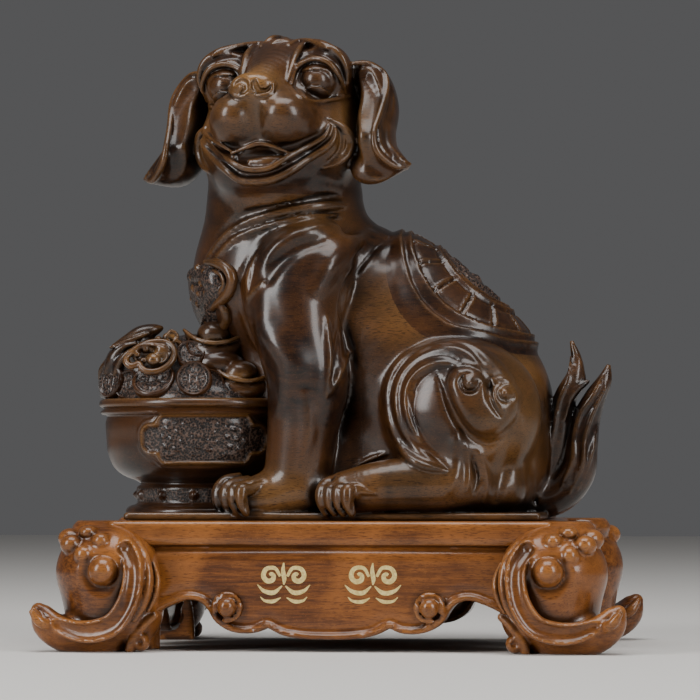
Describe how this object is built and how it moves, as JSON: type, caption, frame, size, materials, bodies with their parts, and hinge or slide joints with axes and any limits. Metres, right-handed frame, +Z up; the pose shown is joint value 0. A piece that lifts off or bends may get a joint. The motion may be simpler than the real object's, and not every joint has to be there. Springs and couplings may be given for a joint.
{
  "type": "dog figurine",
  "caption": "Carved wooden dog sitting beside a bowl heaped with coins and ingots, on a plinth with scalloped apron and scroll corners.",
  "frame": {"origin": "on the ground, below the middle of the plinth's box", "axes": "+Z up; -Y is the front, to which the dog's face is turned; the dog's body looks along -X, the bowl's side; +X is the tail's side"},
  "size_m": [0.2891, 0.2031, 0.3055],
  "materials": {
    "plinth_wood": "gloss",
    "lacquered_wood": "gloss"
  },
  "bodies": {
    "root": {"plinth": "plinth_wood", "dog_with_treasure_bowl": "lacquered_wood"}
  },
  "joints": []
}
